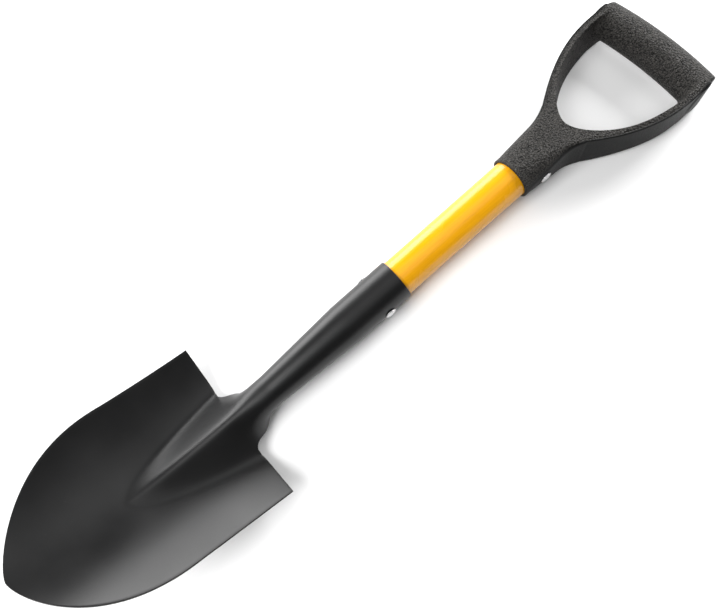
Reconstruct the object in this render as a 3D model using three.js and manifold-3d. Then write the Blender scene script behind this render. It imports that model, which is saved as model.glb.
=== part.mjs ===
// Round point shovel with a D-grip, lying on its back: blade to -X, grip to +X, hollow of the blade upwards.
// Millimetres. Everything is drawn with X = 0 at the socket's rim and the shaft's axis along X, and the whole
// shovel is then set down so that its origin is the middle of its underside.
import * as THREE from 'three';
import { mergeVertices } from 'three/addons/utils/BufferGeometryUtils.js';
import Module from 'manifold-3d';

const wasm = await Module();
wasm.setup();

// Driving dimensions: the overall size follows a 35 mm shaft and a 27 inch (686 mm) overall length.
const GAP = 0.3; // air left between pieces that touch
const SHAFT_R = 17.5;
const SHAFT_WALL = 3.6;
const SHAFT_SHOWING = 133.7; // from the socket's rim to the grip's collar
const SHAFT_IN_SOCKET = 58;
const SHAFT_IN_GRIP = 42;

const SHEET = 1.5; // the pressed steel of the blade and socket
const SOCKET_STRAIGHT = 60; // length of the socket's parallel part
const SOCKET_TAPER_END = 145; // distance from the rim to the narrow neck
const NECK_R = 14.8;
const SHOULDER = 190.9; // distance from the rim to the blade's shoulders, on the middle line
const SEAM = 2.4; // the open joint down the socket's back
const UNROLL_START = 149; // where the tube starts to open into the blade

const BLADE_LENGTH = 175.7; // shoulders to point, measured along the shaft's axis
const BLADE_HALF_WIDTH = 78.6; // at the shoulders
const BLADE_SIDE_TAPER = 0.038; // loss of half width for each mm down the sides
const BLADE_NOSE_START = 73.7; // where the sides begin to round in to the point
const BLADE_LIFT = 0.423; // rise for each mm down the blade
const BLADE_LIFT_CURVE = 0.00094; // further rise, for each mm squared
const DISH = 25.5; // how far the blade's edges stand above its middle at the shoulders
const DISH_GROWTH = 0.019; // added dish for each mm down the blade
const DISH_LEAN = 0.33; // the dish stands square to the sloping blade, so its sides lean towards the grip
const BLADE_SINK = 20.1; // the blade's middle, without the frog, starts this far below the shaft's axis

const FROG_LENGTH = 98; // the raised ridge that carries the socket's line down the blade
const FROG_HEIGHT = 34.5;
const FROG_HALF_WIDTH = 31;
const FROG_CREST = 0.16; // rounding of its top, as a share of the half width
const FROG_ROOT = 0.2; // and of the foot of its flanks

const NOTCH_HALF = 32; // half the sheet's developed width in the notch above the shoulders
const NOTCH_FILLET = 12;

const COLLAR_R = 20.2;
const GRIP_LENGTH = 185.2; // collar's mouth to the back of the crossbar at its ends
const WEB_HALF_DEPTH = 19.4; // past the end of the shaft's bore
const ARM_HALF_DEPTH = 16;
const ARM_START = 62; // the arms' full width starts this far from the collar's mouth
const ARM_THINNED = 98; // and their depth has come down to ARM_HALF_DEPTH here
const BAR_R = ARM_HALF_DEPTH;
const BAR_ARCH = 4; // how far the crossbar bows back in its middle
const HOLE_DRAFT = 4.5; // each side of the hand hole closes in by this from front to back
const HOLE_BOTTOM = 62.3; // from the collar's mouth to the hand hole
const HOLE_HALF_WIDTH = 52; // under the crossbar

const RIVET_R = 2.6;
const RIVET_HEAD_R = 5.4;
const RIVET_HEAD_H = 1.8;
const RIVET_TAIL_H = 0.7;
const SOCKET_RIVET_X = -24;
const GRIP_RIVET_X = 157;
const WASHER_R = 6.8;
const WASHER_T = 0.8;
const WASHER_RECESS = 1.2; // depth of its seat in the collar

const FACETS = 36;
const GRIP_X = SHAFT_SHOWING;
const BAR_X = GRIP_X + GRIP_LENGTH - BAR_R;
const BAR_HALF_LENGTH = 57;
const BORE_R = SHAFT_R + GAP;
const SOCKET_R = BORE_R + SHEET;
const CORE_R = SHAFT_R - SHAFT_WALL - GAP;

const STEEL = { color: 0x17181a, roughness: 0.42, metalness: 0.3 };
const FIBREGLASS = { color: 0xf2ac06, roughness: 0.25, metalness: 0 };
const MOULDING = { color: 0x242527, roughness: 0.62, metalness: 0 };
const RIVET_STEEL = { color: 0xc4c6c9, roughness: 0.3, metalness: 1 };
const CORE_PLASTIC = { color: 0xd8cfb8, roughness: 0.7, metalness: 0 };

const { lerp, clamp } = THREE.MathUtils;

function smooth(t) {
  return t * t * (3 - 2 * t);
}

// ---- closed meshes in and out of the solid modeller

function toSolid(geometry) {
  const bare = geometry.clone();
  bare.deleteAttribute('normal');
  bare.deleteAttribute('uv');
  const merged = mergeVertices(bare, 1e-4);
  return new wasm.Manifold(new wasm.Mesh({
    numProp: 3,
    vertProperties: new Float32Array(merged.attributes.position.array),
    triVerts: new Uint32Array(merged.index.array),
  }));
}

function toGeometry(solid) {
  const mesh = solid.getMesh();
  const geometry = new THREE.BufferGeometry();
  geometry.setAttribute('position', new THREE.BufferAttribute(mesh.vertProperties, 3));
  geometry.setIndex(new THREE.BufferAttribute(mesh.triVerts, 1));
  geometry.computeVertexNormals();
  return geometry;
}

// A body turned about the X axis from [x, radius] pairs.
function turnedAboutX(profile) {
  const points = profile.map(([x, radius]) => new THREE.Vector2(radius, x));
  return new THREE.LatheGeometry(points, FACETS).rotateZ(-Math.PI / 2);
}

// A drilled hole across the shaft, from side to side.
function crossHole(x, radius) {
  const length = 4 * COLLAR_R;
  return toSolid(new THREE.CylinderGeometry(radius, radius, length, 16).translate(x, 0, 0));
}

// ---- blade and socket: one pressed sheet, rolled into a tube above the shoulders and opened out below them

function bladeHalfWidth(u) {
  const straight = BLADE_HALF_WIDTH - BLADE_SIDE_TAPER * Math.min(u, BLADE_NOSE_START);
  const down = clamp((u - BLADE_NOSE_START) / (BLADE_LENGTH - BLADE_NOSE_START), 0, 1);
  return straight * (1 - down ** 2.26) ** 0.69;
}

// The ridge has straight flanks, rounded over its crest and at its foot, and dies away down the blade.
function frogHeight(u, y) {
  const fade = clamp(1 - u / FROG_LENGTH, 0, 2);
  const halfWidth = Math.max(FROG_HALF_WIDTH * fade ** 0.5, 1e-6);
  const flank = 1 + FROG_CREST - Math.hypot(y / halfWidth, FROG_CREST);
  return FROG_HEIGHT * fade ** 1.05 * (flank + Math.hypot(flank, FROG_ROOT)) / 2;
}

// How far the blade stands above its own middle line, u mm below the shoulders and y mm off the middle.
function bladeDish(u, y) {
  return (DISH + DISH_GROWTH * u) * (y / BLADE_HALF_WIDTH) ** 2;
}

// Height of the sheet's middle above the shaft's axis.
function bladeHeight(u, y) {
  return -BLADE_SINK + BLADE_LIFT * u + BLADE_LIFT_CURVE * u * u + bladeDish(u, y) + frogHeight(u, y);
}

// The rolled sheet's middle at distance x from the rim: at(a) is its point at arc length a from the front.
function rolledSection(x) {
  const taper = clamp((x - SOCKET_STRAIGHT) / (SOCKET_TAPER_END - SOCKET_STRAIGHT), 0, 1);
  const radius = lerp(SOCKET_R, NECK_R, taper) - SHEET / 2;
  const opened = smooth(clamp((x - UNROLL_START) / (SHOULDER - UNROLL_START), 0, 1));
  const u = x - SHOULDER;
  const fillet = NOTCH_FILLET - Math.sqrt(NOTCH_FILLET ** 2 - clamp(NOTCH_FILLET + u, 0, NOTCH_FILLET) ** 2);
  const edge = lerp(Math.PI * radius - SEAM / 2, NOTCH_HALF, opened) + fillet;
  const at = (a) => {
    const steps = 60;
    const step = a / steps;
    let [y, flatY] = [0, 0];
    let z = lerp(radius, bladeHeight(u, 0), opened);
    for (let k = 0; k < steps; k += 1) {
      const slope = Math.atan((bladeHeight(u, flatY + 0.01) - bladeHeight(u, flatY - 0.01)) / 0.02);
      const turn = lerp((k + 0.5) * step / radius, -slope, opened);
      y += Math.cos(turn) * step;
      z -= Math.sin(turn) * step;
      flatY += Math.cos(slope) * step;
    }
    return new THREE.Vector3(-x + opened * DISH_LEAN * bladeDish(u, y), y, z);
  };
  return { edge, at };
}

// A plate around a grid of points. isMetal(i, j) says whether the cell past row i and column j is there.
function thickSheet(grid, thickness, isMetal) {
  const [rows, columns] = [grid.length, grid[0].length];
  const normals = grid.map((row) => row.map(() => new THREE.Vector3()));
  const cells = [];
  for (let i = 0; i < rows - 1; i += 1) {
    for (let j = 0; j < columns - 1; j += 1) {
      if (isMetal(i, j)) cells.push([i, j]);
    }
  }
  for (const [i, j] of cells) {
    const across = new THREE.Vector3().subVectors(grid[i + 1][j + 1], grid[i][j]);
    const back = new THREE.Vector3().subVectors(grid[i + 1][j], grid[i][j + 1]);
    const normal = back.cross(across).normalize();
    for (const [p, q] of [[i, j], [i + 1, j], [i, j + 1], [i + 1, j + 1]]) normals[p][q].add(normal);
  }
  const positions = [];
  const corner = (i, j, side) => {
    const point = normals[i][j].clone().normalize().multiplyScalar(side * thickness / 2).add(grid[i][j]);
    positions.push(point.x, point.y, point.z);
  };
  const quad = (a, b, c, d) => [a, b, c, a, c, d].forEach((vertex) => corner(...vertex));
  for (const [i, j] of cells) {
    const [p, q] = [i + 1, j + 1];
    quad([i, j, 1], [p, j, 1], [p, q, 1], [i, q, 1]);
    quad([i, j, -1], [i, q, -1], [p, q, -1], [p, j, -1]);
    if (j === 0 || !isMetal(i, j - 1)) quad([i, j, 1], [i, j, -1], [p, j, -1], [p, j, 1]);
    if (q === columns - 1 || !isMetal(i, q)) quad([i, q, -1], [i, q, 1], [p, q, 1], [p, q, -1]);
    if (i === 0 || !isMetal(i - 1, j)) quad([i, j, -1], [i, j, 1], [i, q, 1], [i, q, -1]);
    if (p === rows - 1 || !isMetal(p, j)) quad([p, j, 1], [p, j, -1], [p, q, -1], [p, q, 1]);
  }
  const geometry = new THREE.BufferGeometry();
  geometry.setAttribute('position', new THREE.Float32BufferAttribute(positions, 3));
  return geometry;
}

function bladeGeometry() {
  const core = 13; // columns each side of the middle that the socket and the blade share
  const wing = 4; // columns each side that only the blade has
  const noseSag = 6; // how far the last row's ends stand back from the point
  const columns = Array.from({ length: 2 * (core + wing) + 1 }, (_, j) => j - core - wing);
  const stations = [0, SOCKET_STRAIGHT, 102, SOCKET_TAPER_END];
  const openingRows = 10;
  for (let i = 1; i <= openingRows; i += 1) stations.push(lerp(SOCKET_TAPER_END, SHOULDER, i / openingRows));

  const rolled = stations.map((x) => {
    const { edge, at } = rolledSection(x);
    return columns.map((j) => {
      const point = at(Math.min(Math.abs(j) / core, 1) * edge);
      return point.setY(-Math.sign(j) * point.y);
    });
  });
  const shoulderRow = rolled.at(-1);
  const notchY = Math.abs(shoulderRow[wing].y);
  const share = columns.map((j) => {
    const outward = (Math.abs(j) - core) / wing;
    const rolledY = Math.abs(shoulderRow[j + core + wing].y);
    const y = outward > 0 ? lerp(notchY, BLADE_HALF_WIDTH, outward) : rolledY;
    return -Math.sign(j) * y / BLADE_HALF_WIDTH;
  });
  const bladeRows = 20;
  const grid = rolled.slice(0, -1);
  for (let i = 0; i <= bladeRows; i += 1) {
    const sag = noseSag * (i / bladeRows) ** 3;
    const rowU = BLADE_LENGTH * i / bladeRows;
    const halfWidth = bladeHalfWidth(rowU - sag);
    grid.push(share.map((part) => {
      const u = rowU - sag * Math.abs(part) ** 1.5;
      const y = part * halfWidth;
      return new THREE.Vector3(-SHOULDER - u + DISH_LEAN * bladeDish(u, y), y, bladeHeight(u, y));
    }));
  }
  const lastRolled = rolled.length - 1;
  const inCore = (j) => j >= wing && j < wing + 2 * core;
  const sheet = thickSheet(grid, SHEET, (i, j) => i >= lastRolled || inCore(j));
  return toGeometry(toSolid(sheet).subtract(crossHole(SOCKET_RIVET_X, RIVET_R + GAP)));
}

// ---- shaft, its two stiffening cores and the rivets

function shaftGeometry() {
  const [low, high] = [-SHAFT_IN_SOCKET, GRIP_X + SHAFT_IN_GRIP];
  const bore = SHAFT_R - SHAFT_WALL;
  const profile = [[low, bore], [low, SHAFT_R], [high, SHAFT_R], [high, bore], [low, bore]];
  const drilled = toSolid(turnedAboutX(profile)).subtract(crossHole(SOCKET_RIVET_X, RIVET_R + GAP));
  return toGeometry(drilled.subtract(crossHole(GRIP_RIVET_X, RIVET_R + GAP)));
}

function coreGeometry(low, high, rivetX) {
  const edge = 1.5; // chamfer that leads the core into the tube
  const start = [[low, 0], [low, CORE_R - edge], [low + edge, CORE_R]];
  const profile = [...start, [high - edge, CORE_R], [high, CORE_R - edge], [high, 0]];
  return toGeometry(toSolid(turnedAboutX(profile)).subtract(crossHole(rivetX, RIVET_R + GAP)));
}

// A rivet along Y. headY and tailY are where its manufactured and its hammered head start.
function rivetGeometry(headY, tailY) {
  const dome = Array.from({ length: 5 }, (_, k) => {
    const angle = (Math.PI / 2) * (1 - k / 4);
    return [RIVET_HEAD_R * Math.cos(angle), RIVET_HEAD_H * Math.sin(angle)];
  });
  const head = dome.map(([radius, height]) => new THREE.Vector2(radius, headY - height));
  const flatten = RIVET_TAIL_H / RIVET_HEAD_H;
  const tail = dome.map(([radius, height]) => new THREE.Vector2(0.8 * radius, tailY + flatten * height));
  const shank = [new THREE.Vector2(RIVET_R, headY), new THREE.Vector2(RIVET_R, tailY)];
  return new THREE.LatheGeometry([...head, ...shank, ...tail.reverse()], 20);
}

function washerGeometry(y) {
  const [inner, outer] = [RIVET_R + GAP, WASHER_R];
  const ring = [[inner, 0], [outer, 0], [outer, WASHER_T], [inner, WASHER_T], [inner, 0]];
  return new THREE.LatheGeometry(ring.map(([radius, height]) => new THREE.Vector2(radius, y + height)), 24);
}

// The flat in the side of the collar that the washer sits on.
function washerSeat() {
  return COLLAR_R - WASHER_RECESS;
}

// ---- D-grip: a collar that flattens into a web, two arms and a round crossbar

// One half of the grip's plan outline from the web to the crossbar, for y > 0.
function armOutline(path) {
  path.bezierCurveTo(GRIP_X + 79, 38, GRIP_X + 102, 52, GRIP_X + 128, 57);
  path.bezierCurveTo(GRIP_X + 148, 60.4, GRIP_X + 166, 59, GRIP_X + GRIP_LENGTH, 55.6);
}

function mirrored(half) {
  const other = half.slice().reverse().map((point) => new THREE.Vector2(point.x, -point.y));
  return new THREE.Shape([...half, ...other]);
}

function plate(shape, halfDepth) {
  const geometry = new THREE.ExtrudeGeometry(shape, { depth: 2 * halfDepth, bevelEnabled: false });
  return toSolid(geometry.translate(0, 0, -halfDepth));
}

// Half the grip's depth, front to back, at distance d from the collar's mouth.
function halfDepth(d) {
  const web = lerp(COLLAR_R, WEB_HALF_DEPTH, clamp(d / (SHAFT_IN_GRIP + 4), 0, 1));
  const thinning = clamp((d - SHAFT_IN_GRIP - 4) / (ARM_THINNED - SHAFT_IN_GRIP - 4), 0, 1);
  return lerp(web, ARM_HALF_DEPTH, smooth(thinning));
}

// The block between the grip's front and back faces, wide enough for both arms.
function betweenFaces() {
  const steps = 12;
  const front = [];
  for (let k = 0; k <= steps; k += 1) {
    const d = lerp(ARM_START, ARM_THINNED, k / steps);
    front.push(new THREE.Vector2(GRIP_X + d, halfDepth(d)));
  }
  front.push(new THREE.Vector2(GRIP_X + GRIP_LENGTH, ARM_HALF_DEPTH));
  const geometry = new THREE.ExtrudeGeometry(mirrored(front), { depth: 200, bevelEnabled: false });
  return toSolid(geometry.translate(0, 0, -100).rotateX(Math.PI / 2));
}

function gripOutline() {
  const path = new THREE.Path();
  path.moveTo(GRIP_X + ARM_START, 26);
  armOutline(path);
  path.lineTo(GRIP_X + GRIP_LENGTH + 2 * BAR_ARCH, 54.6);
  return mirrored(path.getPoints(12));
}

function handHole() {
  const path = new THREE.Path();
  path.moveTo(GRIP_X + HOLE_BOTTOM, 0.01);
  path.bezierCurveTo(GRIP_X + 62.8, 12, GRIP_X + 78, 29, GRIP_X + 98, 40);
  path.bezierCurveTo(GRIP_X + 112, 47.5, GRIP_X + 128, 51, GRIP_X + 146, 52.8);
  path.lineTo(BAR_X, HOLE_HALF_WIDTH);
  const outline = mirrored(path.getPoints(12)).getPoints().reverse();
  const ring = (z) => {
    const closing = HOLE_DRAFT * (ARM_HALF_DEPTH - z) / (2 * ARM_HALF_DEPTH);
    const shorter = 1 - closing / (BAR_X - GRIP_X - HOLE_BOTTOM);
    const narrower = 1 - closing / HOLE_HALF_WIDTH;
    return outline.map(({ x, y }) => new THREE.Vector3(BAR_X + (x - BAR_X) * shorter, y * narrower, z));
  };
  return toSolid(skinned([ring(-2 * ARM_HALF_DEPTH), ring(2 * ARM_HALF_DEPTH)]));
}

// The crossbar, which bows away from the hand hole.
function crossbar() {
  const reach = 62;
  const rings = Array.from({ length: 15 }, (_, i) => {
    const y = lerp(-reach, reach, i / 14);
    const middle = BAR_X + BAR_ARCH * (1 - (y / BAR_HALF_LENGTH) ** 2);
    return Array.from({ length: FACETS }, (_, k) => {
      const angle = 2 * Math.PI * k / FACETS;
      return new THREE.Vector3(middle + BAR_R * Math.sin(angle), y, BAR_R * Math.cos(angle));
    });
  });
  return toSolid(skinned(rings));
}

// Half width and corner radius of the collar and web at distance d from the mouth.
function webSection(d) {
  const flare = clamp((d - 40) / 28, 0, 1);
  const flatten = clamp((d - 6) / 58, 0, 1);
  return [COLLAR_R + 10 * flare ** 2, lerp(halfDepth(d), 1.2, flatten ** 0.9)];
}

function collarAndWeb() {
  const stations = [0, 6, 12, 18, 24, 30, 36, 42, 47, 52, 57, 62, 65, 68];
  const quarter = 9;
  const rings = stations.map((d) => {
    const [halfWidth, corner] = webSection(d);
    return Array.from({ length: 4 * quarter }, (_, k) => {
      const side = Math.floor(k / quarter);
      const angle = (Math.PI / 2) * (side + (k % quarter) / (quarter - 1));
      const [signY, signZ] = [[1, 1], [-1, 1], [-1, -1], [1, -1]][side];
      const y = signY * (halfWidth - corner) + corner * Math.cos(angle);
      const z = signZ * (halfDepth(d) - corner) + corner * Math.sin(angle);
      return new THREE.Vector3(GRIP_X + d, y, z);
    });
  });
  return toSolid(skinned(rings));
}

// A closed body through a row of rings with equal counts, capped by fans at both ends.
function skinned(rings) {
  const positions = [];
  const add = (...points) => points.forEach((point) => positions.push(point.x, point.y, point.z));
  const count = rings[0].length;
  for (let k = 0; k < count; k += 1) {
    const next = (k + 1) % count;
    for (let i = 0; i < rings.length - 1; i += 1) {
      const [a, b, c, d] = [rings[i][k], rings[i][next], rings[i + 1][next], rings[i + 1][k]];
      add(a, b, c, a, c, d);
    }
    if (k > 0 && k < count - 1) {
      const [first, last] = [rings[0], rings.at(-1)];
      add(first[0], first[next], first[k]);
      add(last[0], last[k], last[next]);
    }
  }
  const geometry = new THREE.BufferGeometry();
  geometry.setAttribute('position', new THREE.Float32BufferAttribute(positions, 3));
  return geometry;
}

function gripGeometry() {
  const outline = gripOutline();
  const arms = plate(outline, 40).intersect(betweenFaces());
  const pastBar = toSolid(new THREE.BoxGeometry(60, 200, 60).translate(BAR_X + 30, 0, 0));
  const frame = arms.subtract(pastBar).add(collarAndWeb()).subtract(handHole());
  const boreEnd = GRIP_X + SHAFT_IN_GRIP + GAP;
  const boreStart = GRIP_X - 5;
  const bore = toSolid(turnedAboutX([[boreStart, 0], [boreStart, BORE_R], [boreEnd, BORE_R], [boreEnd, 0]]));
  const solid = frame.add(crossbar().intersect(plate(outline, 40))).subtract(bore);
  const seatR = WASHER_R + GAP;
  const seat = new THREE.CylinderGeometry(seatR, seatR, 10, 24).translate(GRIP_RIVET_X, washerSeat() + 5, 0);
  return toGeometry(solid.subtract(crossHole(GRIP_RIVET_X, RIVET_R + GAP)).subtract(toSolid(seat)));
}

// ---- assembly

const shovel = new THREE.Group();

function addPart(name, geometry, look, x = 0) {
  const mesh = new THREE.Mesh(geometry, new THREE.MeshStandardMaterial(look));
  mesh.name = name;
  mesh.position.x = x;
  shovel.add(mesh);
}

const socketSide = SOCKET_R + GAP;
const collarSide = COLLAR_R + GAP;
const washerInner = washerSeat() + GAP;

addPart('blade', bladeGeometry(), STEEL);
addPart('shaft_tube', shaftGeometry(), FIBREGLASS);
addPart('lower_core', coreGeometry(-SHAFT_IN_SOCKET + 1, 6, SOCKET_RIVET_X), CORE_PLASTIC);
addPart('upper_core', coreGeometry(GRIP_X - 6, GRIP_X + SHAFT_IN_GRIP - 1, GRIP_RIVET_X), CORE_PLASTIC);
addPart('socket_rivet', rivetGeometry(-socketSide, socketSide), RIVET_STEEL, SOCKET_RIVET_X);
addPart('grip_rivet', rivetGeometry(-collarSide, washerInner + WASHER_T + GAP), RIVET_STEEL, GRIP_RIVET_X);
addPart('grip_rivet_washer', washerGeometry(washerInner), RIVET_STEEL, GRIP_RIVET_X);
addPart('d_grip', gripGeometry(), MOULDING);

const box = new THREE.Box3().setFromObject(shovel);
const middle = box.getCenter(new THREE.Vector3());
shovel.position.set(-middle.x, -middle.y, -box.min.z);

export default shovel;
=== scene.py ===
import math

import bmesh
import bpy
import numpy as np
from mathutils import Matrix, Vector


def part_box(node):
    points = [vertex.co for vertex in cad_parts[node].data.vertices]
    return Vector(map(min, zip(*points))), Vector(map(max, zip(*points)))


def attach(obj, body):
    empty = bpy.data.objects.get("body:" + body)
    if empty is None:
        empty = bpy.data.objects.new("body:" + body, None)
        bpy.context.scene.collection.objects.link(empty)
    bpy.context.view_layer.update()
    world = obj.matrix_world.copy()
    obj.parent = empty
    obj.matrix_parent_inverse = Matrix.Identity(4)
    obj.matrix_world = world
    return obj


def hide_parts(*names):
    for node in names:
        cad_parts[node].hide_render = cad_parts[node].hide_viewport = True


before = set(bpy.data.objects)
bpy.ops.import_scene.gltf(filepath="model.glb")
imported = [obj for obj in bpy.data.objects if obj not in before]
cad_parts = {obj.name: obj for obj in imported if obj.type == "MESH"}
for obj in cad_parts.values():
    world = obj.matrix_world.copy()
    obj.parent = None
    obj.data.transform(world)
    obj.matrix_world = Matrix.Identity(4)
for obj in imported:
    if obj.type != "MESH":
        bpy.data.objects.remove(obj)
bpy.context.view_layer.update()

MM = 0.001

# ---- sizes, in millimetres, that the CAD part is also drawn from

SHEET = 1.5
SOCKET_R = 19.3
SOCKET_STRAIGHT = 60.0
SOCKET_TAPER_END = 145.0
NECK_R = 14.8
SHOULDER = 190.9
SEAM = 2.4
UNROLL_START = 149.0
BLADE_LENGTH = 175.7
BLADE_HALF_WIDTH = 78.6
BLADE_SIDE_TAPER = 0.038
BLADE_NOSE_START = 73.7
BLADE_NOSE_POWER = 2.26
BLADE_NOSE_ROUND = 0.69
BLADE_LIFT = 0.423
BLADE_LIFT_CURVE = 0.00094
DISH = 25.5
DISH_GROWTH = 0.019
DISH_LEAN = 0.33
BLADE_SINK = 20.1
FROG_LENGTH = 98.0
FROG_HEIGHT = 34.5
FROG_HALF_WIDTH = 31.0
FROG_CREST = 0.16
FROG_ROOT = 0.2
FROG_NARROWING = 0.5
FROG_SINKING = 1.05
NOTCH_HALF = 32.0
NOTCH_FILLET = 12.0

SHAFT_R = 17.5
SHAFT_WALL = 3.6
RIVET_R = 2.6
RIVET_HEAD_R = 5.4
RIVET_HEAD_H = 1.8
RIVET_TAIL_H = 0.7
WASHER_R = 6.8
WASHER_RECESS = 1.2
FIT_GAP = 0.3

COLLAR_R = 20.2
GRIP_LENGTH = 185.2
WEB_HALF_DEPTH = 19.4
ARM_START = 62.0
ARM_THINNED = 98.0
BAR_R = 16.0
BAR_X = GRIP_LENGTH - BAR_R
BAR_HALF_LENGTH = 57.0
BAR_ARCH = 4.0
HOLE_DRAFT = 4.5
HOLE_BOTTOM = 62.3
BORE_R = 17.8
BORE_END = 42.3
GRIP_RIVET_X = 23.3

# ---- places from the frame

blade_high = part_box("blade")[1]
shaft_low, shaft_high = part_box("shaft_tube")
grip_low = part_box("d_grip")[0]
RIM_X = blade_high.x / MM
AXIS_Z = (shaft_low.z + shaft_high.z) / 2 / MM
MOUTH_X = grip_low.x / MM


def smooth(t):
    return t * t * (3 - 2 * t)


def mix(a, b, t):
    return a + (b - a) * t


# ---- mesh helpers


def new_object(name, mesh, body="root"):
    obj = bpy.data.objects.new(name, mesh)
    bpy.context.scene.collection.objects.link(obj)
    for polygon in mesh.polygons:
        polygon.use_smooth = True
    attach(obj, body)
    return obj


def mesh_from(name, vertices, faces):
    mesh = bpy.data.meshes.new(name)
    mesh.from_pydata([tuple(v * MM for v in vertex) for vertex in vertices], [], faces)
    mesh.update()
    return mesh


def apply_modifiers(obj):
    depsgraph = bpy.context.evaluated_depsgraph_get()
    mesh = bpy.data.meshes.new_from_object(obj.evaluated_get(depsgraph))
    obj.modifiers.clear()
    obj.data = mesh


def sharpen(obj, degrees):
    """Smooth shading that stops at edges sharper than this."""
    mesh = bmesh.new()
    mesh.from_mesh(obj.data)
    for edge in mesh.edges:
        edge.smooth = not (len(edge.link_faces) == 2 and edge.calc_face_angle() > math.radians(degrees))
    mesh.to_mesh(obj.data)
    mesh.free()


def lathe(name, profile, place, axis, segments=96):
    """A closed body turned from (height, radius) pairs about a row axis through place, in millimetres."""
    turn = {"X": Matrix.Rotation(math.pi / 2, 4, "Y"), "Y": Matrix.Rotation(-math.pi / 2, 4, "X")}[axis]
    vertices, faces, rings = [], [], []
    for height, radius in profile:
        count = segments if radius > 0 else 1
        rings.append(range(len(vertices), len(vertices) + count))
        for k in range(count):
            angle = 2 * math.pi * k / segments
            point = turn @ Vector((radius * math.cos(angle), radius * math.sin(angle), height))
            vertices.append(tuple(point + Vector(place)))
    closed = list(zip(rings, rings[1:] + rings[:1])) if profile[0][1] > 0 else list(zip(rings, rings[1:]))
    for low, high in closed:
        for k in range(segments):
            n = (k + 1) % segments
            corners = [low[k % len(low)], low[n % len(low)], high[n % len(high)], high[k % len(high)]]
            unique = list(dict.fromkeys(corners))
            if len(unique) > 2:
                faces.append(unique)
    mesh = mesh_from(name, vertices, faces)
    outward = bmesh.new()
    outward.from_mesh(mesh)
    bmesh.ops.recalc_face_normals(outward, faces=outward.faces)
    outward.to_mesh(mesh)
    outward.free()
    return mesh


def drill(obj, x, radius):
    """Cuts a hole right across obj at x."""
    mesh = lathe("drill", [(-60, 0), (-60, radius), (60, radius), (60, 0)], (x, 0, AXIS_Z), "Y", 48)
    tool = bpy.data.objects.new("drill", mesh)
    bpy.context.scene.collection.objects.link(tool)
    cut = obj.modifiers.new("hole", "BOOLEAN")
    cut.object = tool
    cut.solver = "EXACT"
    apply_modifiers(obj)
    bpy.data.objects.remove(tool)


# ---- blade and socket


def blade_half_width(u):
    straight = BLADE_HALF_WIDTH - BLADE_SIDE_TAPER * np.minimum(u, BLADE_NOSE_START)
    down = np.clip((u - BLADE_NOSE_START) / (BLADE_LENGTH - BLADE_NOSE_START), 0, 1)
    return straight * (1 - down**BLADE_NOSE_POWER) ** BLADE_NOSE_ROUND


def blade_dish(u, y):
    """How far the blade's sides stand above its middle."""
    return (DISH + DISH_GROWTH * u) * (y / BLADE_HALF_WIDTH) ** 2


def blade_height(u, y):
    """The sheet's middle above the shaft's axis, u down from the shoulders and y across."""
    fade = np.clip(1 - u / FROG_LENGTH, 0, 2)
    half_width = np.maximum(FROG_HALF_WIDTH * fade**FROG_NARROWING, 1e-6)
    flank = 1 + FROG_CREST - np.hypot(y / half_width, FROG_CREST)
    frog = FROG_HEIGHT * fade**FROG_SINKING * (flank + np.hypot(flank, FROG_ROOT)) / 2
    return -BLADE_SINK + BLADE_LIFT * u + BLADE_LIFT_CURVE * u * u + blade_dish(u, y) + frog


def rolled_row(x, shares):
    """The socket's sheet at distance x from the rim: a point for each share of its half width."""
    taper = np.clip((x - SOCKET_STRAIGHT) / (SOCKET_TAPER_END - SOCKET_STRAIGHT), 0, 1)
    radius = mix(SOCKET_R, NECK_R, taper) - SHEET / 2
    opened = smooth(np.clip((x - UNROLL_START) / (SHOULDER - UNROLL_START), 0, 1))
    u = x - SHOULDER
    in_fillet = np.clip(NOTCH_FILLET + u, 0, NOTCH_FILLET)
    fillet = NOTCH_FILLET - math.sqrt(NOTCH_FILLET**2 - in_fillet**2)
    edge = mix(math.pi * radius - SEAM / 2, NOTCH_HALF, opened) + fillet
    steps = 80
    step = np.minimum(np.abs(shares), 1) * edge / steps
    y = np.zeros_like(step)
    flat_y = np.zeros_like(step)
    z = np.full_like(step, mix(radius, blade_height(u, 0.0), opened))
    for k in range(steps):
        slope = np.arctan((blade_height(u, flat_y + 0.01) - blade_height(u, flat_y - 0.01)) / 0.02)
        turn = mix((k + 0.5) * step / radius, -slope, opened)
        y += np.cos(turn) * step
        z -= np.sin(turn) * step
        flat_y += np.cos(slope) * step
    lean = opened * DISH_LEAN * blade_dish(u, y)
    return np.stack([-x + lean, np.sign(shares) * y, z], 1)


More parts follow.
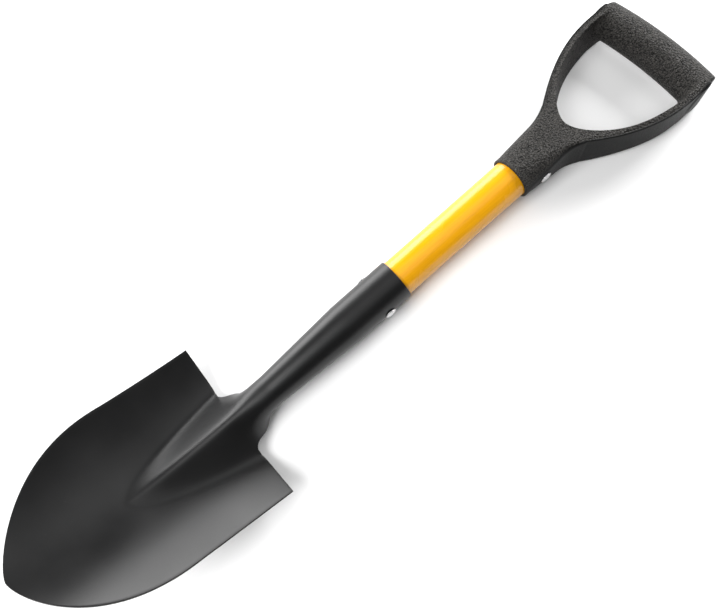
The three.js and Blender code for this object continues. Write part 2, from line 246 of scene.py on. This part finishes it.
def blade_mesh():
    core, wing = 44, 16
    nose_sag = 6.0
    columns = np.arange(-core - wing, core + wing + 1)
    shares = columns / core
    tube_stations = np.linspace(0, SOCKET_TAPER_END, 30)
    opening_stations = np.linspace(SOCKET_TAPER_END, SHOULDER, 37)[1:]
    stations = np.concatenate([tube_stations, opening_stations])
    rows = [rolled_row(x, shares) for x in stations]
    shoulder_y = rows.pop()[:, 1]
    notch_y = shoulder_y[-1]
    outward = np.clip((np.abs(columns) - core) / wing, 0, 1)
    spread = np.where(np.abs(columns) > core, mix(notch_y, BLADE_HALF_WIDTH, outward), np.abs(shoulder_y))
    part = np.sign(columns) * spread / BLADE_HALF_WIDTH
    blade_rows = 84
    first_blade_row = len(rows)
    for i in range(blade_rows + 1):
        share = i / blade_rows
        sag = nose_sag * share**3
        u = BLADE_LENGTH * share - sag * np.abs(part) ** 1.5
        y = part * blade_half_width(BLADE_LENGTH * share - sag)
        rows.append(np.stack([-SHOULDER - u + DISH_LEAN * blade_dish(u, y), y, blade_height(u, y)], 1))
    grid = np.array(rows) + np.array([RIM_X, 0, AXIS_Z])
    count = len(columns)
    faces = []
    for i in range(len(rows) - 1):
        for j in range(count - 1):
            in_core = wing <= j < wing + 2 * core
            if i >= first_blade_row or in_core:
                corner = i * count + j
                faces.append((corner, corner + count, corner + count + 1, corner + 1))
    mesh = mesh_from("blade_shell", grid.reshape(-1, 3).tolist(), faces)
    tidy = bmesh.new()
    tidy.from_mesh(mesh)
    bmesh.ops.delete(tidy, geom=[v for v in tidy.verts if not v.link_faces], context="VERTS")
    bmesh.ops.reverse_faces(tidy, faces=tidy.faces)
    tidy.to_mesh(mesh)
    tidy.free()
    return mesh


def build_blade():
    blade = new_object("blade_shell", blade_mesh())
    sheet = blade.modifiers.new("sheet", "SOLIDIFY")
    sheet.thickness = SHEET * MM
    sheet.offset = 0
    sheet.use_even_offset = False
    edges = blade.modifiers.new("edges", "BEVEL")
    edges.width = 0.4 * MM
    edges.segments = 2
    edges.limit_method = "ANGLE"
    edges.angle_limit = math.radians(60)
    apply_modifiers(blade)
    drill(blade, rivet_x("socket_rivet"), RIVET_R + FIT_GAP)
    sharpen(blade, 40)
    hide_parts("blade")
    return blade


# ---- shaft and rivets


def rivet_x(node):
    low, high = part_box(node)
    return (low.x + high.x) / 2 / MM


def build_shaft():
    length = (shaft_high.x - shaft_low.x) / MM
    bore, chamfer = SHAFT_R - SHAFT_WALL, 0.6
    profile = [(0, bore), (0, SHAFT_R - chamfer), (chamfer, SHAFT_R)]
    profile += [(length * k / 40, SHAFT_R) for k in range(1, 40)]
    profile += [(length - chamfer, SHAFT_R), (length, SHAFT_R - chamfer), (length, bore)]
    mesh = lathe("shaft_sleeve", profile, (shaft_low.x / MM, 0, AXIS_Z), "X", 128)
    shaft = new_object("shaft_sleeve", mesh)
    for node in ("socket_rivet", "grip_rivet"):
        drill(shaft, rivet_x(node), RIVET_R + FIT_GAP)
    sharpen(shaft, 30)
    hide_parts("shaft_tube")
    return shaft


def build_rivet(node):
    low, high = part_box(node)
    head_y = low.y / MM + RIVET_HEAD_H
    tail_y = high.y / MM - RIVET_TAIL_H
    quarter = [math.pi / 2 * k / 10 for k in range(11)]
    lip = 0.35
    head = [(head_y - lip - (RIVET_HEAD_H - lip) * math.cos(a), RIVET_HEAD_R * math.sin(a)) for a in quarter]
    tail_r = 0.8 * RIVET_HEAD_R
    tail = [(tail_y + 0.2 + (RIVET_TAIL_H - 0.2) * math.sin(a), tail_r * math.cos(a)) for a in quarter]
    shank = [(head_y, RIVET_HEAD_R - 0.15), (head_y, RIVET_R), (tail_y, RIVET_R), (tail_y, tail_r - 0.1)]
    tail[-1] = (tail[-1][0], 0)
    head[0] = (head[0][0], 0)
    mesh = lathe(node, head + shank + tail, (rivet_x(node), 0, AXIS_Z), "Y", 64)
    rivet = new_object(node + "_turned", mesh)
    sharpen(rivet, 50)
    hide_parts(node)
    return rivet


# ---- D-grip, as a field of signed distances


def bezier(start, control1, control2, end, count=16):
    t = np.linspace(0, 1, count + 1)[1:, None]
    points = [np.array(p) for p in (start, control1, control2, end)]
    weights = ((1 - t) ** 3, 3 * t * (1 - t) ** 2, 3 * t**2 * (1 - t), t**3)
    return sum(weight * point for weight, point in zip(weights, points))


def grip_outline():
    """Half the plan outline, x from the collar's mouth against half width."""
    web = [(x, COLLAR_R + 10 * max((x - 40) / 28, 0) ** 2) for x in np.linspace(40, ARM_START - 2, 8)]
    lower = bezier((ARM_START, 26), (79, 38), (102, 52), (128, 57))
    upper = bezier((128, 57), (148, 60.4), (166, 59), (GRIP_LENGTH, 55.6))
    return np.vstack([[(-40, COLLAR_R)], web, [(ARM_START, 26)], lower, upper, [(230, 50)]])


def hole_outline():
    lower = bezier((HOLE_BOTTOM, 0), (62.8, 12), (78, 29), (98, 40), 24)
    upper = bezier((98, 40), (112, 47.5), (128, 51), (146, 52.8))
    return np.vstack([[(HOLE_BOTTOM, 0)], lower, upper, [(260, 48)]])


OUTLINE = grip_outline()
HOLE = hole_outline()


def inside_outline(x, y, line):
    """Signed distance in plan from a half outline, negative on the middle line's side of it."""
    nearest = np.full(x.shape, 1e9)
    for (ax, ay), (bx, by) in zip(line[:-1], line[1:]):
        ex, ey = bx - ax, by - ay
        t = np.clip(((x - ax) * ex + (y - ay) * ey) / (ex * ex + ey * ey), 0, 1)
        nearest = np.minimum(nearest, (x - ax - t * ex) ** 2 + (y - ay - t * ey) ** 2)
    within = (x > line[0, 0]) & (y < np.interp(x, line[:, 0], line[:, 1]))
    return np.where(within, -1, 1) * np.sqrt(nearest)


def rounded_and(a, b, radius):
    """Where both bodies are, with the edge between them rounded."""
    pa, pb = a + radius, b + radius
    return np.hypot(np.maximum(pa, 0), np.maximum(pb, 0)) + np.minimum(np.maximum(pa, pb), 0) - radius


def rounded_or(a, b, radius):
    return -rounded_and(-a, -b, radius)


def ridge(distance, centre, half_width):
    """A smooth hump, 1 at its centre and 0 beyond its half width."""
    return np.clip(1 - ((distance - centre) / half_width) ** 2, 0, 1) ** 2


def half_depth(x):
    full_collar = BORE_END + 3.7
    web = mix(COLLAR_R, WEB_HALF_DEPTH, np.clip(x / full_collar, 0, 1))
    thinning = np.clip((x - full_collar) / (ARM_THINNED - full_collar), 0, 1)
    return mix(web, BAR_R, smooth(thinning))


def grip_plan(x, y):
    """Distances in plan from the outline and from the hand hole."""
    side = np.abs(y)
    return inside_outline(x, side, OUTLINE), inside_outline(x, side, HOLE)


def grip_field(points, plan):
    """Signed distance from the grip's surface; plan is grip_plan() of the same points."""
    x, y, z = points
    outer, hole = plan
    hole = hole + HOLE_DRAFT * (BAR_R - z) / (2 * BAR_R)
    on_arm = smooth(np.clip((x - 30) / 25, 0, 1)) * smooth(np.clip((176 - x) / 12, 0, 1))
    bead = 0.45 * ridge(-outer, 0.7, 1.0) - 0.55 * ridge(-outer, 2.4, 1.1)
    hole_bead = 0.4 * ridge(hole, 0.8, 1.1)
    face = np.abs(z) - half_depth(x) - on_arm * (bead + hole_bead)
    corner = mix(half_depth(x), 0.7, np.clip((x - 6) / 58, 0, 1) ** 0.9)
    arms = rounded_and(rounded_and(outer, face, corner), -hole, 0.7)
    arms = np.maximum(arms, x - BAR_X)
    bar_middle = BAR_X + BAR_ARCH * (1 - (y / BAR_HALF_LENGTH) ** 2)
    bar = rounded_and(np.hypot(x - bar_middle, z) - BAR_R, outer, 1.0)
    grip = rounded_or(arms, bar, 4.0)
    grip = rounded_and(grip, -x, 0.8)
    bore = np.maximum(np.hypot(y, z) - BORE_R, x - BORE_END)
    from_rivet = np.hypot(x - GRIP_RIVET_X, z)
    seat = np.maximum(from_rivet - WASHER_R - FIT_GAP, COLLAR_R - WASHER_RECESS - y)
    for cut in (bore, from_rivet - RIVET_R - FIT_GAP, seat):
        grip = np.maximum(grip, -cut)
    return grip


def surface_net(field):
    """Quads through the zero surface of a grid of distances: vertices in grid steps, and faces."""
    shape = np.array(field.shape) - 1
    total = np.zeros((*shape, 3))
    crossings = np.zeros(shape, int)
    edges = []
    for axis in range(3):
        low = [slice(None)] * 3
        high = [slice(None)] * 3
        low[axis], high[axis] = slice(None, -1), slice(1, None)
        a, b = field[tuple(low)], field[tuple(high)]
        crossed = (a < 0) != (b < 0)
        with np.errstate(divide="ignore", invalid="ignore"):
            at = np.where(crossed, a / (a - b), 0)
        edges.append((crossed, a < 0))
        others = [k for k in range(3) if k != axis]
        for shift in ((0, 0), (0, 1), (1, 0), (1, 1)):
            window = [slice(None)] * 3
            for other, step in zip(others, shift):
                window[other] = slice(step, step + shape[other])
            hit = crossed[tuple(window)]
            crossings += hit
            total[..., axis] += np.where(hit, at[tuple(window)], 0)
            for other, step in zip(others, shift):
                total[..., other] += step * hit
    cells = np.argwhere(crossings > 0)
    used = tuple(cells.T)
    vertices = cells + total[used] / crossings[used][:, None]
    number = np.full(shape, -1)
    number[used] = np.arange(len(cells))
    faces = []
    for axis, (crossed, entering) in enumerate(edges):
        first, second = [(1, 2), (2, 0), (0, 1)][axis]
        at = np.argwhere(crossed)
        i, j = at[:, first], at[:, second]
        at = at[(i > 0) & (j > 0) & (i < shape[first]) & (j < shape[second])]
        steps = np.zeros((4, 3), int)
        steps[1, first] = steps[2, first] = -1
        steps[2, second] = steps[3, second] = -1
        quads = np.stack([number[tuple((at + step).T)] for step in steps], 1)
        outward = entering[tuple(at.T)]
        faces.append(np.where(outward[:, None], quads, quads[:, ::-1]))
    return vertices, np.vstack(faces)


def build_grip():
    step = 0.75
    low = np.array([-1.5, -61.5, -21.75])
    span = (193, 123, 43.5)
    counts = [int(np.ceil(size / step)) for size in span]
    axes = [low[k] + step * np.arange(counts[k] + 1) for k in range(3)]
    plan = [layer[..., None] for layer in grip_plan(*np.meshgrid(axes[0], axes[1], indexing="ij"))]
    field = grip_field(np.meshgrid(*axes, indexing="ij", sparse=True), plan)
    vertices, faces = surface_net(field)
    points = low + step * vertices
    for _ in range(2):
        points = settle(points)
    placed = points + np.array([MOUTH_X, 0, AXIS_Z])
    grip = new_object("grip_moulding", mesh_from("grip_moulding", placed.tolist(), faces.tolist()))
    grain = grip.data.attributes.new("grain", "FLOAT", "POINT")
    outer, _ = grip_plan(points[:, 0], points[:, 1])
    grain.data.foreach_set("value", np.clip((-outer - 1.0) / 1.5, 0, 1).astype(np.float32))
    sharpen(grip, 50)
    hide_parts("d_grip")
    return grip


def settle(points):
    """Moves points on to the grip's surface, down the field's slope."""

    def value(p):
        return grip_field(p.T, grip_plan(p[:, 0], p[:, 1]))

    reach = 0.02
    here = value(points)
    slope = np.stack([value(points + reach * np.eye(3)[k]) - here for k in range(3)], 1) / reach
    squared = np.maximum((slope**2).sum(1), 0.25)
    move = np.clip(here / squared, -0.4, 0.4)
    return points - move[:, None] * slope


# ---- materials


class Nodes:
    """Short hand for building one material's nodes."""

    def __init__(self, name):
        self.material = bpy.data.materials.new(name)
        self.material.use_nodes = True
        self.tree = self.material.node_tree
        self.shader = self.tree.nodes["Principled BSDF"]
        self.coordinates = self.add("ShaderNodeTexCoord").outputs["Object"]

    def add(self, kind, **values):
        node = self.tree.nodes.new(kind)
        for key, value in values.items():
            setattr(node, key, value)
        return node

    def link(self, source, target):
        self.tree.links.new(source, target)

    def stretched(self, scale):
        node = self.add("ShaderNodeMapping")
        node.inputs["Scale"].default_value = scale
        self.link(self.coordinates, node.inputs["Vector"])
        return node.outputs["Vector"]

    def noise(self, scale, detail=3.0, roughness=0.5, vector=None):
        node = self.add("ShaderNodeTexNoise")
        node.inputs["Scale"].default_value = scale
        node.inputs["Detail"].default_value = detail
        node.inputs["Roughness"].default_value = roughness
        self.link(vector or self.coordinates, node.inputs["Vector"])
        return node.outputs["Fac"]

    def spread(self, value, low, high, to_low=0.0, to_high=1.0):
        node = self.add("ShaderNodeMapRange")
        for key, number in zip(("From Min", "From Max", "To Min", "To Max"), (low, high, to_low, to_high)):
            node.inputs[key].default_value = number
        self.link(value, node.inputs["Value"])
        return node.outputs["Result"]

    def colours(self, value, low, high):
        node = self.add("ShaderNodeValToRGB")
        node.color_ramp.elements[0].color = (*low, 1)
        node.color_ramp.elements[1].color = (*high, 1)
        self.link(value, node.inputs["Fac"])
        return node.outputs["Color"]

    def blend(self, amount, first, second):
        node = self.add("ShaderNodeMix", data_type="RGBA")
        self.link(amount, node.inputs["Factor"])
        self.link(first, node.inputs["A"])
        self.link(second, node.inputs["B"])
        return node.outputs["Result"]

    def bump(self, height, distance, strength=1.0, under=None):
        node = self.add("ShaderNodeBump")
        node.inputs["Strength"].default_value = strength
        node.inputs["Distance"].default_value = distance
        self.link(height, node.inputs["Height"])
        if under:
            self.link(under, node.inputs["Normal"])
        return node.outputs["Normal"]

    def set(self, **values):
        for key, value in values.items():
            self.shader.inputs[key.replace("_", " ")].default_value = value


def powder_coat():
    n = Nodes("black_powder_coat")
    broad = n.noise(14, 3)
    peel = n.noise(1100, 2)
    scratches = n.noise(60, 6, 0.7, n.stretched((0.6, 14, 14)))
    scuffs = n.spread(scratches, 0.62, 0.78)
    coat = n.colours(n.spread(broad, 0.3, 0.7), (0.003, 0.003, 0.0032), (0.006, 0.006, 0.0062))
    worn = n.colours(scuffs, (0.008, 0.008, 0.008), (0.03, 0.03, 0.03))
    n.link(n.blend(scuffs, coat, worn), n.shader.inputs["Base Color"])
    n.link(n.spread(broad, 0.3, 0.7, 0.32, 0.42), n.shader.inputs["Roughness"])
    n.link(n.bump(peel, 0.00004, 0.5), n.shader.inputs["Normal"])
    n.set(Specular_IOR_Level=0.42)
    return n.material


def yellow_fibreglass():
    n = Nodes("yellow_fibreglass")
    strands = n.noise(90, 4, 0.6, n.stretched((0.5, 9, 9)))
    broad = n.noise(22, 2)
    tone = n.colours(n.spread(strands, 0.3, 0.7), (0.68, 0.30, 0.001), (0.78, 0.36, 0.002))
    n.link(tone, n.shader.inputs["Base Color"])
    n.link(n.spread(broad, 0.3, 0.7, 0.2, 0.3), n.shader.inputs["Roughness"])
    n.link(n.bump(strands, 0.00005, 0.4), n.shader.inputs["Normal"])
    n.set(Coat_Weight=0.15, Coat_Roughness=0.2)
    return n.material


def pebbled_plastic():
    n = Nodes("pebbled_black_plastic")
    grain = n.add("ShaderNodeTexVoronoi", feature="SMOOTH_F1")
    grain.inputs["Scale"].default_value = 850
    n.link(n.coordinates, grain.inputs["Vector"])
    fine = n.noise(1700, 2)
    # speckle sets where the painted pebble highlights fall on the pebbled face
    speckle = n.noise(760, 2)
    broad = n.noise(30, 3)
    smooth_side = n.colours(n.spread(broad, 0.3, 0.7), (0.002, 0.002, 0.002), (0.004, 0.004, 0.004))
    # painted highlights: the light end of these colours paints glints on the pebbles over the plastic's
    # near-black colour
    pebbled_face_painted_highlights = n.colours(n.spread(speckle, 0.36, 0.66), (0.003, 0.003, 0.003), (0.055, 0.052, 0.048))
    where = n.add("ShaderNodeAttribute", attribute_name="grain").outputs["Fac"]
    n.link(n.blend(where, smooth_side, pebbled_face_painted_highlights), n.shader.inputs["Base Color"])
    n.link(n.spread(fine, 0.3, 0.7, 0.42, 0.62), n.shader.inputs["Roughness"])
    pebbled = n.add("ShaderNodeMath", operation="MULTIPLY")
    n.link(grain.outputs["Distance"], pebbled.inputs[0])
    n.link(where, pebbled.inputs[1])
    pebbles = n.bump(pebbled.outputs["Value"], 0.0016, 1.0)
    n.link(n.bump(fine, 0.00005, 0.6, pebbles), n.shader.inputs["Normal"])
    n.set(Specular_IOR_Level=0.14)
    return n.material


def zinc_steel():
    n = Nodes("zinc_steel")
    turning = n.noise(400, 3, 0.6)
    tone = n.colours(n.spread(turning, 0.3, 0.7), (0.52, 0.52, 0.53), (0.72, 0.72, 0.72))
    n.link(tone, n.shader.inputs["Base Color"])
    n.link(n.spread(turning, 0.3, 0.7, 0.22, 0.38), n.shader.inputs["Roughness"])
    n.link(n.bump(turning, 0.00005, 0.4), n.shader.inputs["Normal"])
    n.set(Metallic=1.0)
    return n.material


def buff_core():
    n = Nodes("buff_core")
    speckle = n.noise(500, 3)
    tone = n.colours(n.spread(speckle, 0.3, 0.7), (0.55, 0.48, 0.34), (0.68, 0.61, 0.46))
    n.link(tone, n.shader.inputs["Base Color"])
    n.link(n.spread(speckle, 0.3, 0.7, 0.6, 0.8), n.shader.inputs["Roughness"])
    n.link(n.bump(speckle, 0.0001, 0.4), n.shader.inputs["Normal"])
    return n.material


def paint(obj, material):
    obj.data.materials.clear()
    obj.data.materials.append(material)


# ---- stage, light and camera


def build_stage():
    mesh = bpy.data.meshes.new("floor")
    half = 4.0
    corners = [(-half, -half, 0), (half, -half, 0), (half, half, 0), (-half, half, 0)]
    mesh.from_pydata(corners, [], [(0, 1, 2, 3)])
    floor = bpy.data.objects.new("floor", mesh)
    bpy.context.scene.collection.objects.link(floor)
    material = bpy.data.materials.new("floor")
    material.use_nodes = True
    shader = material.node_tree.nodes["Principled BSDF"]
    shader.inputs["Base Color"].default_value = (0.86, 0.86, 0.86, 1)
    shader.inputs["Roughness"].default_value = 0.9
    mesh.materials.append(material)


def area_light(name, place, target, size, power):
    data = bpy.data.lights.new(name, "AREA")
    data.shape = "RECTANGLE"
    data.size, data.size_y = size
    data.energy = power
    lamp = bpy.data.objects.new(name, data)
    bpy.context.scene.collection.objects.link(lamp)
    lamp.location = place
    lamp.rotation_euler = (Vector(target) - Vector(place)).to_track_quat("-Z", "Y").to_euler()


def build_light():
    world = bpy.data.worlds.new("studio")
    bpy.context.scene.world = world
    world.use_nodes = True
    world.node_tree.nodes["Background"].inputs["Color"].default_value = (1, 1, 1, 1)
    world.node_tree.nodes["Background"].inputs["Strength"].default_value = 0.08
    area_light("side_panel", (-0.1, 1.5, 0.45), (-0.1, 0, 0.2), (2.2, 1.0), 50)
    area_light("high_panel", (-1.5, 0.1, 2.0), (-0.1, 0, 0), (1.6, 1.6), 60)
    area_light("grip_end_panel", (1.8, 0.3, 0.75), (0.3, 0, 0), (0.9, 0.9), 55)
    area_light("top_panel", (0.3, -0.3, 2.2), (0, 0, 0), (2.0, 2.0), 9)


def build_camera():
    data = bpy.data.cameras.new("camera")
    data.sensor_width = 36.0
    data.lens = 29.22
    camera = bpy.data.objects.new("camera", data)
    bpy.context.scene.collection.objects.link(camera)
    right = Vector((0.749, -0.643, -0.159)).normalized()
    forward = Vector((0.031, 0.274, -0.961)).normalized()
    up = right.cross(forward).normalized()
    turn = Matrix((right, up, -forward)).transposed()
    place = Vector((RIM_X - 55.4, -136.5, AXIS_Z + 492.7)) * MM
    camera.matrix_world = Matrix.Translation(place) @ turn.to_4x4()
    bpy.context.scene.camera = camera


# ---- assembly

build_camera()
build_light()
build_stage()

steel = powder_coat()
yellow = yellow_fibreglass()
moulding = pebbled_plastic()
zinc = zinc_steel()
buff = buff_core()

paint(build_blade(), steel)
paint(build_shaft(), yellow)
paint(build_rivet("socket_rivet"), zinc)
paint(build_rivet("grip_rivet"), zinc)
paint(build_grip(), moulding)
for node, material in (("grip_rivet_washer", zinc), ("lower_core", buff), ("upper_core", buff)):
    paint(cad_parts[node], material)

bpy.context.scene.view_settings.view_transform = "Standard"
